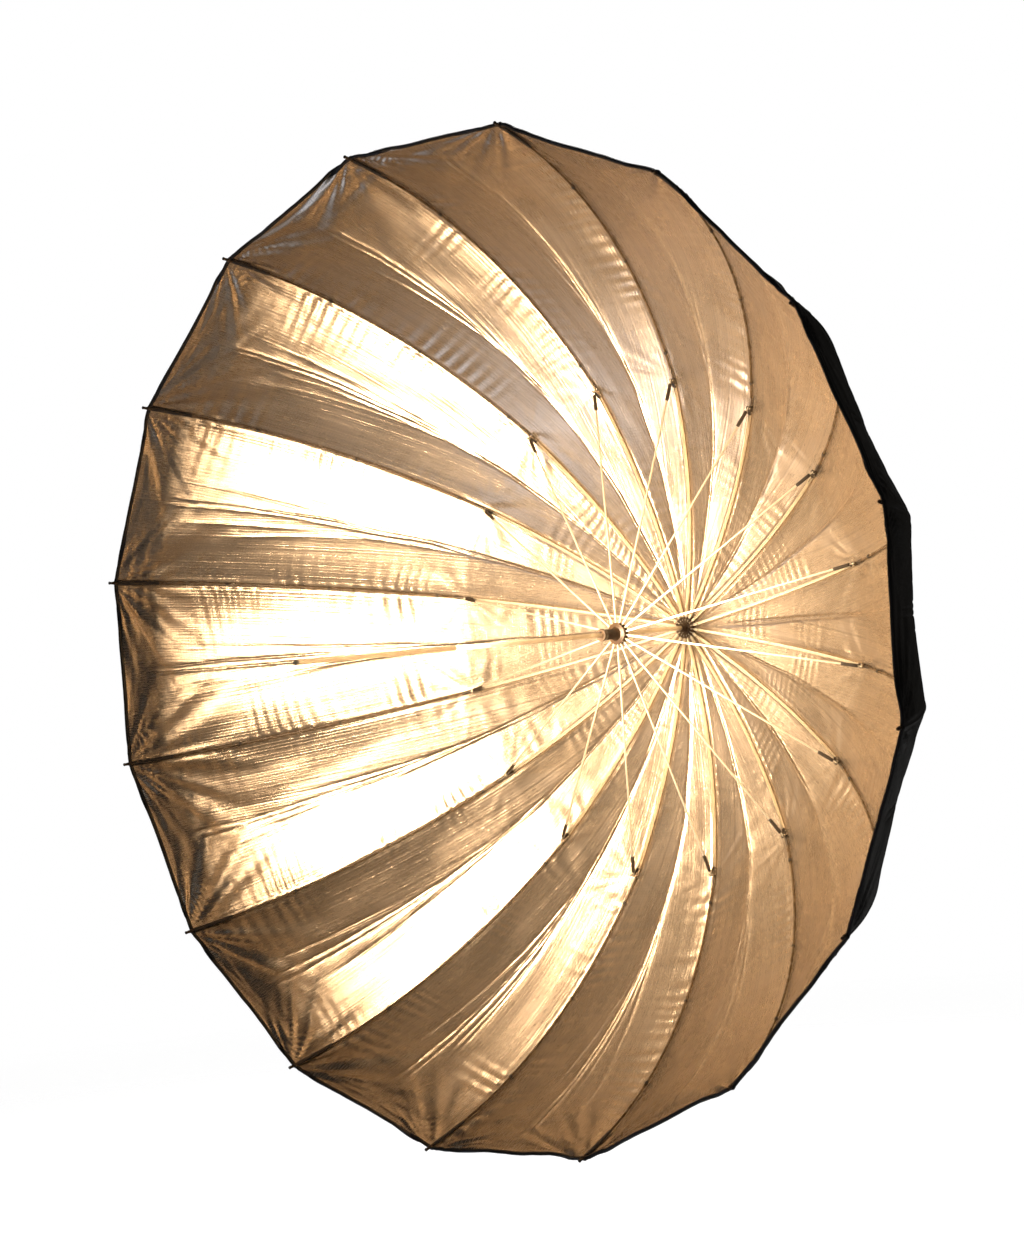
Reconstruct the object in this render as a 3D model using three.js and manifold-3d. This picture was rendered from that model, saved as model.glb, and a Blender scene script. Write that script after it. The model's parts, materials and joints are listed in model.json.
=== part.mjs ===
// A deep sixteen-rib umbrella reflector for studio lights, in millimetres.
//
// Frame: the shaft lies along Y, with the bowl open towards -Y and +Z up. The origin is the centre of the
// flat face at the shaft's free end, where a lamp's umbrella holder takes it. The umbrella itself is drawn
// round the centre of the ring on which the ribs hinge: depth runs from there towards the open side, so
// depth = -y, and the finished group is moved to the origin at the end.
//
// Each rib is a bent steel channel from the hub to a riveted bracket, and a fibreglass rod from there to the
// rim. A stretcher joins the bracket to the runner. Rib and stretcher have the same length between pivots,
// and hub and runner the same pivot radius, so a rib turning by t turns its stretcher by -2 t and leaves the
// runner square on the shaft.

import * as THREE from "three";
import { mergeVertices } from "three/addons/utils/BufferGeometryUtils.js";
import Module from "manifold-3d";

const wasm = await Module();
wasm.setup();

// ---- driving dimensions ------------------------------------------------------------------------------

const RIBS = 16;
const RIM_RADIUS = 825; // shaft axis to the end of a rib
const RIM_DEPTH = 590;
const JOINT_RADIUS = 432; // shaft axis to the pivot between rib and stretcher
const JOINT_DEPTH = 95;
const PIVOT_RADIUS = 14; // ring wires of the hub and of the runner
const CHANNEL_BEND = 0.244; // half the angle that a channel turns through, in radians
const ROD_BEND = 0.375;

const GAP = 0.3; // between neighbours that don't move against each other
const SHAFT_RADIUS = 4;
const SHAFT_WALL = 0.8;
const SHAFT_DEPTH = 970; // how far the free end lies from the hub's pivots
const SHAFT_BACK = 20; // length of shaft behind the pivots
const PLUG_HEAD = 5; // the end plug's length beyond the tube

const CHANNEL_WIDTH = 4;
const CHANNEL_HEIGHT = 4.5;
const CHANNEL_WALL = 0.7;
const TONGUE_THICKNESS = 1.8;
const TONGUE_HEIGHT = 3.2;
const TONGUE_REACH = 6.5; // pivot to the start of the wider section
const EYE_RADIUS = 2.6;
const WIRE_RADIUS = 0.75;
const RIVET_RADIUS = 0.8;
const BRACKET_DROP = 6; // channel's centre line to the stretcher's pivot
const BRACKET_WALL = 0.9;
const ROD_RADIUS = 1.8;
const ROD_START_GAP = 1.6; // from the flex point to the channel's end, and to the rod's end
const TIP_RADIUS = 2.5;
const TIP_LENGTH = 20;
const TIP_OVERHANG = 12; // the tip's length beyond the rim
const STRETCHER_WIDTH = 3.2;
const STRETCHER_HEIGHT = 2.8;
const SLEEVE_LENGTH = 26;
const SLEEVE_SIZE = 4.2;

const CROWN_RADIUS = 18.5;
const CROWN_BACK = 6.9; // from the pivots to the closed face of a crown
const CROWN_FRONT = 4; // from the pivots to the slotted face
const SLOT_WIDTH = 2.5;
const SLOT_FLOOR = 10.8; // radius at which a crown's slots end
const NECK_RADIUS = 8;
const NECK_LENGTH = 10;
const PIN_RADIUS = 1.2;
const RUNNER_RADIUS = 9;
const RUNNER_LENGTH = 48; // from the runner's pivots to its grip end
const RUNNER_BORE = 4.4;

const CANOPY_THICKNESS = 1;
const CANOPY_OFFSET = 3.6; // rib's centre line to the fabric's inner face
const CANOPY_HOLE = 4.4;
const CAP_RADIUS = 13;
const CAP_LENGTH = 16;
const WASHER_RADIUS = 16;
const WASHER_THICKNESS = 1.5;

const CATCH_HEIGHT = 2.2; // how far the catch's nose stands out of the shaft
const CATCH_WIDTH = 2.8;
const CATCH_NOSE = 12;
const CATCH_LENGTH = 60;
const RIVET_HEAD = 1.6;
const RIVET_SHANK = 0.8;
const LEAF_THICKNESS = 0.7;
const LEAF_RADIUS = 2.3; // outer face of the leaf, from the shaft's axis

// ---- derived places ----------------------------------------------------------------------------------

const RUNNER_DEPTH = 2 * JOINT_DEPTH;
const PITCH = (2 * Math.PI) / RIBS;
const CATCH_DEPTH = RUNNER_DEPTH + RUNNER_LENGTH + 0.6;
const CANOPY_APEX = -(CROWN_BACK + 2 * GAP); // depth of the fabric's inner face at the hub

// A rib is drawn in its own plane: x is the radius, y is -depth and z runs along the rim.
const point = (radius, depth) => new THREE.Vector2(radius, -depth);
const HUB_PIVOT = point(PIVOT_RADIUS, 0);
const JOINT = point(JOINT_RADIUS, JOINT_DEPTH);
const RUNNER_PIVOT = point(PIVOT_RADIUS, RUNNER_DEPTH);
const RIM = point(RIM_RADIUS, RIM_DEPTH);

// The flex point lies on the rib's centre line, square above the stretcher's pivot.
const jointSlope = JOINT.clone().sub(HUB_PIVOT).angle() - CHANNEL_BEND;
const FLEX = JOINT.clone().add(
  new THREE.Vector2(-Math.sin(jointSlope), Math.cos(jointSlope)).multiplyScalar(BRACKET_DROP),
);

// A circular arc between two points, bowed towards the back of the umbrella. bend is half its angle.
function arcBetween(from, to, bend) {
  const chord = to.clone().sub(from);
  const radius = chord.length() / (2 * Math.sin(bend));
  const towardsCentre = new THREE.Vector2(chord.y, -chord.x).normalize();
  const centre = from
    .clone()
    .add(to)
    .multiplyScalar(0.5)
    .addScaledVector(towardsCentre, radius * Math.cos(bend));
  const middle = Math.atan2(-towardsCentre.y, -towardsCentre.x);
  return { centre, radius, start: middle + bend, end: middle - bend };
}

const CHANNEL_ARC = arcBetween(HUB_PIVOT, FLEX, CHANNEL_BEND);
const ROD_ARC = arcBetween(FLEX, RIM, ROD_BEND);

// The point of an arc at share s of its length, moved away from its centre by out.
function onArc(arc, s, out = 0) {
  const angle = THREE.MathUtils.lerp(arc.start, arc.end, s);
  const reach = arc.radius + out;
  return new THREE.Vector2(
    arc.centre.x + reach * Math.cos(angle),
    arc.centre.y + reach * Math.sin(angle),
  );
}

const arcLength = (arc) => arc.radius * (arc.start - arc.end);

// The stretch of an arc between shares s0 and s1 of its length, as a path to sweep a section along.
// The section's y points away from the arc's centre.
class ArcPath extends THREE.Curve {
  constructor(arc, s0, s1) {
    super();
    this.arc = arc;
    this.s0 = s0;
    this.s1 = s1;
  }

  getPoint(t, target = new THREE.Vector3()) {
    const p = onArc(this.arc, THREE.MathUtils.lerp(this.s0, this.s1, t));
    return target.set(p.x, p.y, 0);
  }
}

// ---- materials ---------------------------------------------------------------------------------------

const material = (color, roughness, metalness) =>
  new THREE.MeshStandardMaterial({ color, roughness, metalness });

const plated = material(0xc9c2b2, 0.3, 1);
const shaftSteel = material(0xa89f90, 0.32, 1);
const fibreglass = material(0x17150f, 0.35, 0);
const blackPlastic = material(0x121211, 0.45, 0);
const springSteel = material(0x8d8a84, 0.28, 1);
const lining = material(0xc9ab82, 0.35, 0.6);

// ---- solids ------------------------------------------------------------------------------------------

function solid(geometry) {
  const bare = geometry.index ? geometry.toNonIndexed() : geometry.clone();
  bare.deleteAttribute("normal");
  bare.deleteAttribute("uv");
  const merged = mergeVertices(bare, 1e-4);
  return new wasm.Manifold(
    new wasm.Mesh({
      numProp: 3,
      vertProperties: merged.attributes.position.array,
      triVerts: new Uint32Array(merged.index.array),
    }),
  );
}

function geometryOf(manifold) {
  const mesh = manifold.getMesh();
  const geometry = new THREE.BufferGeometry();
  geometry.setAttribute("position", new THREE.BufferAttribute(mesh.vertProperties, 3));
  geometry.setIndex(new THREE.BufferAttribute(mesh.triVerts, 1));
  geometry.computeVertexNormals();
  return geometry;
}

const join = (...geometries) =>
  geometryOf(geometries.map(solid).reduce((whole, next) => whole.add(next)));

const cut = (geometry, ...tools) =>
  geometryOf(tools.map(solid).reduce((rest, tool) => rest.subtract(tool), solid(geometry)));

// An outline in a rib's plane, given thickness along the rim and centred on the plane.
function plate(outline, thickness, offset = 0, curveSegments = 4) {
  const settings = { depth: thickness, bevelEnabled: false, curveSegments };
  return new THREE.ExtrudeGeometry(outline, settings).translate(0, 0, offset - thickness / 2);
}

// A disc in a rib's plane, as a pin, an eye or a hole along the rim direction.
function disc(centre, radius, thickness, sides) {
  return new THREE.CylinderGeometry(radius, radius, thickness, sides)
    .rotateX(Math.PI / 2)
    .translate(centre.x, centre.y, 0);
}

// A straight bar between two points of a rib's plane.
function bar(from, to, height, width) {
  const line = to.clone().sub(from);
  return new THREE.BoxGeometry(line.length(), height, width)
    .translate(line.length() / 2, 0, 0)
    .rotateZ(line.angle())
    .translate(from.x, from.y, 0);
}

// The band between two offsets of an arc, from share s0 to share s1 of its length.
function arcBand(arc, s0, s1, inner, outer) {
  const from = THREE.MathUtils.lerp(arc.start, arc.end, s0);
  const to = THREE.MathUtils.lerp(arc.start, arc.end, s1);
  const band = new THREE.Shape();
  band.absarc(arc.centre.x, arc.centre.y, arc.radius + outer, from, to, true);
  band.absarc(arc.centre.x, arc.centre.y, arc.radius + inner, to, from, false);
  band.closePath();
  return band;
}

// A solid of revolution round the shaft. Profile points are [radius, depth], listed round the section.
function turned(profile, sides) {
  const points = profile.map(([radius, depth]) => new THREE.Vector2(radius, -depth));
  if (THREE.ShapeUtils.area(points) < 0) {
    points.reverse(); // so that the faces look outwards
  }
  points.push(points[0].clone());
  return new THREE.LatheGeometry(points, sides);
}

const box = (width, height, depth, x, y, z) =>
  new THREE.BoxGeometry(width, height, depth).translate(x, y, z);

// ---- the arms ----------------------------------------------------------------------------------------

// The steel channel with its hub eye, and the riveted bracket that carries the stretcher.
function channelGeometry() {
  const length = arcLength(CHANNEL_ARC);
  const s0 = TONGUE_REACH / length;
  const s1 = 1 - ROD_START_GAP / length;
  const half = CHANNEL_HEIGHT / 2;
  const side = CHANNEL_WIDTH / 2;
  const section = new THREE.Shape([
    new THREE.Vector2(-side, -half),
    new THREE.Vector2(-side + CHANNEL_WALL, -half),
    new THREE.Vector2(-side + CHANNEL_WALL, half - CHANNEL_WALL),
    new THREE.Vector2(side - CHANNEL_WALL, half - CHANNEL_WALL),
    new THREE.Vector2(side - CHANNEL_WALL, -half),
    new THREE.Vector2(side, -half),
    new THREE.Vector2(side, half),
    new THREE.Vector2(-side, half),
  ]);
  const channel = new THREE.ExtrudeGeometry(section, {
    extrudePath: new ArcPath(CHANNEL_ARC, s0, s1),
    steps: 7,
  });
  const tongueEnd = onArc(CHANNEL_ARC, s0 + 6 / length);
  const tongue = bar(HUB_PIVOT, tongueEnd, TONGUE_HEIGHT, TONGUE_THICKNESS);
  // fills the channel where the flattened tongue runs into it
  const root = plate(
    arcBand(CHANNEL_ARC, s0, s0 + 6 / length, -half, half),
    CHANNEL_WIDTH,
    0,
    1,
  );
  const eye = disc(HUB_PIVOT, EYE_RADIUS, TONGUE_THICKNESS, 8);
  const bracketSpan = CHANNEL_WIDTH + 2 * BRACKET_WALL;
  const clamp = plate(
    arcBand(CHANNEL_ARC, 1 - 16 / length, s1, -half - BRACKET_WALL, half + 0.2),
    bracketSpan,
    0,
    1,
  );
  const cheekEnd = onArc(CHANNEL_ARC, 1 - 8 / length);
  const cheek = (side) => {
    const ear = new THREE.Shape();
    const away = JOINT.clone().sub(cheekEnd).normalize().multiplyScalar(EYE_RADIUS);
    ear.moveTo(cheekEnd.x, cheekEnd.y);
    ear.lineTo(JOINT.x - away.y, JOINT.y + away.x);
    ear.lineTo(JOINT.x + away.x, JOINT.y + away.y);
    ear.lineTo(JOINT.x + away.y, JOINT.y - away.x);
    const high = onArc(CHANNEL_ARC, 1 - 15 / length);
    ear.lineTo(high.x, high.y);
    return plate(ear, BRACKET_WALL, (side * (bracketSpan - BRACKET_WALL)) / 2);
  };
  const rivet = disc(JOINT, RIVET_RADIUS, bracketSpan, 6);
  return cut(
    join(channel, root, tongue, eye, clamp, cheek(-1), cheek(1), rivet),
    disc(HUB_PIVOT, WIRE_RADIUS + GAP, CHANNEL_WIDTH, 6),
  );
}

function rodGeometry() {
  const section = new THREE.Shape();
  section.absarc(0, 0, ROD_RADIUS, 0, 2 * Math.PI, false);
  const rod = new THREE.ExtrudeGeometry(section, {
    extrudePath: new ArcPath(ROD_ARC, ROD_START_GAP / arcLength(ROD_ARC), 1),
    steps: 9,
    curveSegments: 4,
  });
  const direction = RIM.clone().sub(onArc(ROD_ARC, 0.995)).normalize();
  const tip = new THREE.CylinderGeometry(TIP_RADIUS - 0.6, TIP_RADIUS, TIP_LENGTH, 8)
    .translate(0, TIP_OVERHANG - TIP_LENGTH / 2, 0)
    .rotateZ(direction.angle() - Math.PI / 2)
    .translate(RIM.x, RIM.y, 0);
  return join(rod, tip);
}

// A flattened steel bar with an eye at each end and a sleeve next to the bracket.
function stretcherGeometry() {
  const line = RUNNER_PIVOT.clone().sub(JOINT).normalize();
  const along = (from, distance) => from.clone().addScaledVector(line, distance);
  return cut(
    join(
      bar(JOINT, RUNNER_PIVOT, TONGUE_HEIGHT - 0.6, TONGUE_THICKNESS),
      bar(along(JOINT, TONGUE_REACH), along(RUNNER_PIVOT, -TONGUE_REACH), STRETCHER_HEIGHT, STRETCHER_WIDTH),
      bar(along(JOINT, TONGUE_REACH), along(JOINT, TONGUE_REACH + SLEEVE_LENGTH), SLEEVE_SIZE, SLEEVE_SIZE),
      disc(JOINT, EYE_RADIUS - 0.4, TONGUE_THICKNESS, 8),
      disc(RUNNER_PIVOT, EYE_RADIUS, TONGUE_THICKNESS, 8),
    ),
    disc(JOINT, RIVET_RADIUS + GAP, CHANNEL_WIDTH, 6),
    disc(RUNNER_PIVOT, WIRE_RADIUS + GAP, CHANNEL_WIDTH, 6),
  );
}

// ---- hub and runner ----------------------------------------------------------------------------------

// A ring wire as a sixteen-sided loop: each straight run passes square through one eye.
function wireLoop(radius) {
  const section = Array.from({ length: 6 }, (_, k) => {
    const angle = (k / 6) * 2 * Math.PI;
    return [
      PIVOT_RADIUS / Math.cos(PITCH / 2) + radius * Math.cos(angle),
      radius * Math.sin(angle),
    ];
  });
  return turned(section, RIBS);
}

// The slots in which the arms swing, open outwards and towards the slotted face.
function slots() {
  const reach = CROWN_RADIUS - SLOT_FLOOR + 2;
  const height = EYE_RADIUS + 0.6 + CROWN_FRONT + 1;
  return Array.from({ length: RIBS }, (_, i) =>
    box(reach, height, SLOT_WIDTH, SLOT_FLOOR + reach / 2, EYE_RADIUS + 0.6 - height / 2, 0).rotateY(
      ribTurn(i),
    ),
  );
}

function hubGeometry() {
  const body = turned(
    [
      [SHAFT_RADIUS + GAP, -CROWN_BACK],
      [SHAFT_RADIUS + GAP, CROWN_FRONT + NECK_LENGTH],
      [NECK_RADIUS, CROWN_FRONT + NECK_LENGTH],
      [NECK_RADIUS, CROWN_FRONT],
      [CROWN_RADIUS, CROWN_FRONT],
      [CROWN_RADIUS, -CROWN_BACK],
    ],
    32,
  );
  const pinHole = new THREE.CylinderGeometry(PIN_RADIUS + GAP, PIN_RADIUS + GAP, 40, 10)
    .rotateX(Math.PI / 2)
    .translate(0, -(CROWN_FRONT + NECK_LENGTH / 2), 0);
  return cut(body, ...slots(), wireLoop(WIRE_RADIUS + GAP), pinHole);
}

function runnerGeometry() {
  const grip = CROWN_BACK + 5;
  const body = turned(
    [
      [RUNNER_BORE, -CROWN_FRONT],
      [RUNNER_BORE, RUNNER_LENGTH],
      [RUNNER_RADIUS + 1.5, RUNNER_LENGTH],
      [RUNNER_RADIUS + 1.5, RUNNER_LENGTH - 5],
      [RUNNER_RADIUS, RUNNER_LENGTH - 9],
      [RUNNER_RADIUS, grip],
      [CROWN_RADIUS, CROWN_BACK],
      [CROWN_RADIUS, -CROWN_FRONT],
    ],
    32,
  );
  const mirroredSlots = slots().map((slot) => slot.rotateX(Math.PI));
  return cut(body, ...mirroredSlots, wireLoop(WIRE_RADIUS + GAP));
}

// ---- shaft, catch and caps ---------------------------------------------------------------------------

const CATCH_END = CATCH_DEPTH + CATCH_LENGTH;
const RIVET_DEPTH = CATCH_END - 4;

// The catch is drawn in a rib-like plane and then turned so that its nose points up.
const upright = (geometry) => geometry.rotateY(-Math.PI / 2);

// The head lies flush with the shaft, so that the runner passes over it.
function rivetGeometry() {
  const pieces = [
    [RIVET_HEAD, 0.7, SHAFT_RADIUS - 0.4],
    [RIVET_SHANK, 3.2, SHAFT_RADIUS - 2.1],
    [RIVET_HEAD - 0.4, 0.6, LEAF_RADIUS - LEAF_THICKNESS - 0.7],
  ].map(([radius, length, height]) =>
    new THREE.CylinderGeometry(radius, radius, length, 12).translate(0, height, 0),
  );
  return join(...pieces)
    .rotateX(Math.PI / 2)
    .translate(0, -RIVET_DEPTH, 0);
}

function shaftGeometry() {
  const bore = SHAFT_RADIUS - SHAFT_WALL;
  const tube = turned(
    [
      [bore, -SHAFT_BACK],
      [bore, SHAFT_DEPTH],
      [SHAFT_RADIUS, SHAFT_DEPTH],
      [SHAFT_RADIUS, -SHAFT_BACK],
    ],
    24,
  );
  const slotLength = CATCH_NOSE + 3.2;
  const catchSlot = upright(
    box(6, slotLength, CATCH_WIDTH + 0.9, SHAFT_RADIUS, -(CATCH_DEPTH - 0.9 + slotLength / 2), 0),
  );
  const pinHole = new THREE.CylinderGeometry(PIN_RADIUS + GAP, PIN_RADIUS + GAP, 40, 10)
    .rotateX(Math.PI / 2)
    .translate(0, -(CROWN_FRONT + NECK_LENGTH / 2), 0);
  const rivetHole = new THREE.CylinderGeometry(RIVET_HEAD + GAP, RIVET_HEAD + GAP, 3, 12)
    .translate(0, SHAFT_RADIUS, 0)
    .rotateX(Math.PI / 2)
    .translate(0, -RIVET_DEPTH, 0);
  return cut(tube, catchSlot, pinHole, rivetHole);
}

function catchGeometry() {
  const inner = LEAF_RADIUS - LEAF_THICKNESS;
  const outline = new THREE.Shape();
  outline.moveTo(inner, -CATCH_DEPTH);
  outline.lineTo(inner, -CATCH_END);
  outline.lineTo(LEAF_RADIUS, -CATCH_END);
  outline.lineTo(LEAF_RADIUS, -(CATCH_DEPTH + CATCH_NOSE));
  outline.lineTo(SHAFT_RADIUS + CATCH_HEIGHT, -(CATCH_DEPTH + 2.5));
  outline.lineTo(SHAFT_RADIUS + CATCH_HEIGHT, -CATCH_DEPTH);
  outline.closePath();
  const hole = new THREE.CylinderGeometry(RIVET_SHANK + 0.2, RIVET_SHANK + 0.2, 8, 10)
    .rotateZ(Math.PI / 2)
    .translate(SHAFT_RADIUS, -RIVET_DEPTH, 0);
  return upright(cut(plate(outline, CATCH_WIDTH), hole));
}

function plugGeometry() {
  const insert = SHAFT_RADIUS - SHAFT_WALL - GAP;
  return turned(
    [
      [0, SHAFT_DEPTH - 14],
      [0, SHAFT_DEPTH + PLUG_HEAD],
      [SHAFT_RADIUS - 1, SHAFT_DEPTH + PLUG_HEAD],
      [SHAFT_RADIUS, SHAFT_DEPTH + PLUG_HEAD - 1],
      [SHAFT_RADIUS, SHAFT_DEPTH + GAP],
      [insert, SHAFT_DEPTH + GAP],
      [insert, SHAFT_DEPTH - 14],
    ],
    24,
  );
}

const WASHER_FRONT = CANOPY_APEX - CANOPY_THICKNESS - GAP;
const CAP_FRONT = WASHER_FRONT - WASHER_THICKNESS - GAP;

function washerGeometry() {
  return turned(
    [
      [SHAFT_RADIUS + GAP, WASHER_FRONT],
      [WASHER_RADIUS, WASHER_FRONT],
      [WASHER_RADIUS, WASHER_FRONT - WASHER_THICKNESS],
      [SHAFT_RADIUS + GAP, WASHER_FRONT - WASHER_THICKNESS],
    ],
    32,
  );
}

// A domed nut with a flat nose, closed over the end of the shaft.
function capGeometry() {
  const dome = Array.from({ length: 5 }, (_, k) => {
    const angle = (k / 4) * 0.36 * Math.PI;
    return [CAP_RADIUS * Math.cos(angle), CAP_FRONT - 4 - (CAP_LENGTH - 4) * Math.sin(angle)];
  });
  const nose = dome[dome.length - 1][1];
  return turned(
    [
      [0, -SHAFT_BACK - GAP],
      [SHAFT_RADIUS + GAP, -SHAFT_BACK - GAP],
      [SHAFT_RADIUS + GAP, CAP_FRONT],
      [CAP_RADIUS, CAP_FRONT],
      ...dome,
      [0, nose],
    ],
    32,
  );
}

function pinGeometry() {
  return new THREE.CylinderGeometry(PIN_RADIUS, PIN_RADIUS, 2 * NECK_RADIUS - 1, 10)
    .rotateX(Math.PI / 2)
    .translate(0, -(CROWN_FRONT + NECK_LENGTH / 2), 0);
}

// ---- canopy ------------------------------------------------------------------------------------------

// The fabric's section along a rib, offset from the rib's centre line. Points are [radius, depth].
function canopyProfile(out) {
  const along = (arc, first, steps) =>
    Array.from({ length: steps + 1 }, (_, k) => {
      const p = onArc(arc, THREE.MathUtils.lerp(first, 1, k / steps), CANOPY_OFFSET + out);
      return [p.x, -p.y];
    });
  return [
    [CANOPY_HOLE, CANOPY_APEX - out],
    [CROWN_RADIUS + 1.5, CANOPY_APEX - out],
    ...along(CHANNEL_ARC, 0.12, 6).slice(0, -1),
    ...along(ROD_ARC, 0, 10),
  ];
}

// Sixteen gores, each a strip of flat facets that runs straight from rib to rib.
function canopyGeometry() {
  const section = [...canopyProfile(0), ...canopyProfile(CANOPY_THICKNESS).reverse()];
  return turned(section, RIBS).rotateY(PITCH / 2);
}

// ---- assembly ----------------------------------------------------------------------------------------

// Ribs stand half a pitch to each side of the top, so the row rests on the hem between two tips.
function ribTurn(i) {
  return (i + 0.5) * PITCH - Math.PI / 2;
}

const umbrella = new THREE.Group();
umbrella.position.y = SHAFT_DEPTH + PLUG_HEAD;

function place(name, geometry, finish, parent = umbrella) {
  const mesh = new THREE.Mesh(geometry, finish);
  mesh.name = name;
  parent.add(mesh);
  return mesh;
}

place("shaft", shaftGeometry(), shaftSteel);
place("shaft_end_plug", plugGeometry(), blackPlastic);
place("hub", hubGeometry(), blackPlastic);
place("hub_pin", pinGeometry(), plated);
place("hub_wire", wireLoop(WIRE_RADIUS), plated);
place("canopy", canopyGeometry(), lining);
place("canopy_washer", washerGeometry(), blackPlastic);
place("end_cap", capGeometry(), blackPlastic);
place("catch_spring", catchGeometry(), springSteel);
place("catch_rivet", rivetGeometry(), plated);
place("runner", runnerGeometry(), blackPlastic).position.y = -RUNNER_DEPTH;
place("runner_wire", wireLoop(WIRE_RADIUS), plated).position.y = -RUNNER_DEPTH;

const channel = channelGeometry();
const rod = rodGeometry();
const stretcher = stretcherGeometry();
for (let i = 0; i < RIBS; i++) {
  const arm = new THREE.Group();
  arm.rotation.y = ribTurn(i);
  umbrella.add(arm);
  const number = String(i + 1).padStart(2, "0");
  place(`rib_${number}`, channel, plated, arm);
  place(`rib_rod_${number}`, rod, fibreglass, arm);
  place(`stretcher_${number}`, stretcher, plated, arm);
}

const reflector = new THREE.Group();
reflector.add(umbrella);

export default reflector;
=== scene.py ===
import json
import math

import bmesh
import bpy
import numpy as np
from mathutils import Matrix, Vector

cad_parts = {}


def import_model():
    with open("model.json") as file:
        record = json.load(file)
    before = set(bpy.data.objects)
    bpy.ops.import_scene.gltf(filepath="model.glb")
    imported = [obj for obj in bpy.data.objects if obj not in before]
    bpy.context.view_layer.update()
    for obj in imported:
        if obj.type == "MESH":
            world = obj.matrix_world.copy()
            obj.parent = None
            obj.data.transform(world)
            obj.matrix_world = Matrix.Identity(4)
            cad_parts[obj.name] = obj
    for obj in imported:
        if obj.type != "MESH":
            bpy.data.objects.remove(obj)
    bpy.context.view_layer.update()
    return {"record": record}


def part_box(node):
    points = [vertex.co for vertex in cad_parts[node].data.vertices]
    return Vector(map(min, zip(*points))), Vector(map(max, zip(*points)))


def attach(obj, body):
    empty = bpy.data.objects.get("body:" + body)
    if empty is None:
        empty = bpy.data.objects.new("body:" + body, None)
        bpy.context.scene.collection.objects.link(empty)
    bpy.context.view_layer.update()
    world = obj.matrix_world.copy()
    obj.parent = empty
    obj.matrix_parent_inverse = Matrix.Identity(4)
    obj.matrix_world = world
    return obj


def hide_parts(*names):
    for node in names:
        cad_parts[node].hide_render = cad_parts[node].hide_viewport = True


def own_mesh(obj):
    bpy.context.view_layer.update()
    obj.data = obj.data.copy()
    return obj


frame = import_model()
JOINTS = {joint["name"]: joint for joint in frame["record"]["behaviour"]["joints"]}

ORIGIN = np.zeros(3)
X, Y, Z = np.eye(3)

# ---- the frame's own places, in metres ----
# A rib's plane is described by (radius, y): radius from the shaft's axis, y along the shaft.

RIBS = 16
PITCH = 2 * math.pi / RIBS


def in_plane(joint):
    x, y, z = JOINTS[joint]["pos_m"]
    return np.array([math.hypot(x, z), y])


HUB = in_plane("umbrella_fold")
FLEX = in_plane("rib_rod_01_flex")
ELBOW = in_plane("stretcher_01_hinge")
SLIDE = in_plane("runner_travel")
RIM = np.array([0.825, HUB[1] - 0.590])
CHANNEL_BEND, ROD_BEND = 0.244, 0.375  # half the angle that each arc turns through
SHAFT_RADIUS = 0.004


def arc_between(start, end, bend):
    chord = end - start
    length = np.hypot(*chord)
    radius = length / (2 * math.sin(bend))
    inward = np.array([chord[1], -chord[0]]) / length
    centre = (start + end) / 2 + inward * radius * math.cos(bend)
    middle = math.atan2(-inward[1], -inward[0])
    return centre, radius, middle + bend, middle - bend


CHANNEL_ARC = arc_between(HUB, FLEX, CHANNEL_BEND)
ROD_ARC = arc_between(FLEX, RIM, ROD_BEND)


def arc_length(arc):
    return arc[1] * (arc[2] - arc[3])


def on_arc(arc, share, out=0.0):
    """Points of an arc at shares of its length, moved away from its centre by out."""
    centre, radius, a0, a1 = arc
    angle = a0 + (a1 - a0) * np.asarray(share, float)
    return centre + (radius + out) * np.stack([np.cos(angle), np.sin(angle)], axis=-1)


def rib_angle(i):
    return (i + 0.5) * PITCH


def radial(i):
    return np.array([math.sin(rib_angle(i)), 0.0, math.cos(rib_angle(i))])


def tangent(i):
    return np.array([math.cos(rib_angle(i)), 0.0, -math.sin(rib_angle(i))])


def number(i):
    return "%02d" % (i + 1)


# ---- small mesh kit ----


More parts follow.
